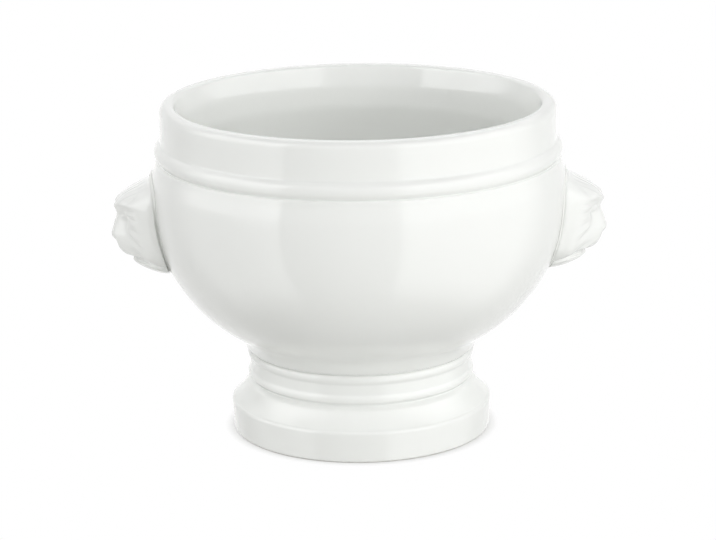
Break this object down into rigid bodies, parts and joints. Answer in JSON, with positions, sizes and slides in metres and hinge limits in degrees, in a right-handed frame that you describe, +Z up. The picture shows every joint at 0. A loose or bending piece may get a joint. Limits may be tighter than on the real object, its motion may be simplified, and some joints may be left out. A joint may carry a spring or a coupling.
{
  "type": "footed soup bowl",
  "caption": "Deep round porcelain soup crock with an upright beaded collar, on a turned hollow pedestal foot, with lion-head lugs at the sides to lift it by.",
  "frame": {"origin": "centre of the foot's standing ring, on the table", "axes": "+Z up along the bowl's axis, the lion heads face -X and +X"},
  "size_m": [0.152, 0.1274, 0.1028],
  "materials": {
    "white_glaze": "clear gloss glaze on white porcelain",
    "fired_slip": "fired slip under a thin run of glaze"
  },
  "bodies": {
    "root": {"bowl": "white_glaze", "pedestal_foot": "white_glaze", "foot_slip_joint": "fired_slip", "left_lion_head": "white_glaze", "right_lion_head": "white_glaze", "left_head_slip_joint": "fired_slip", "right_head_slip_joint": "fired_slip"}
  },
  "joints": []
}
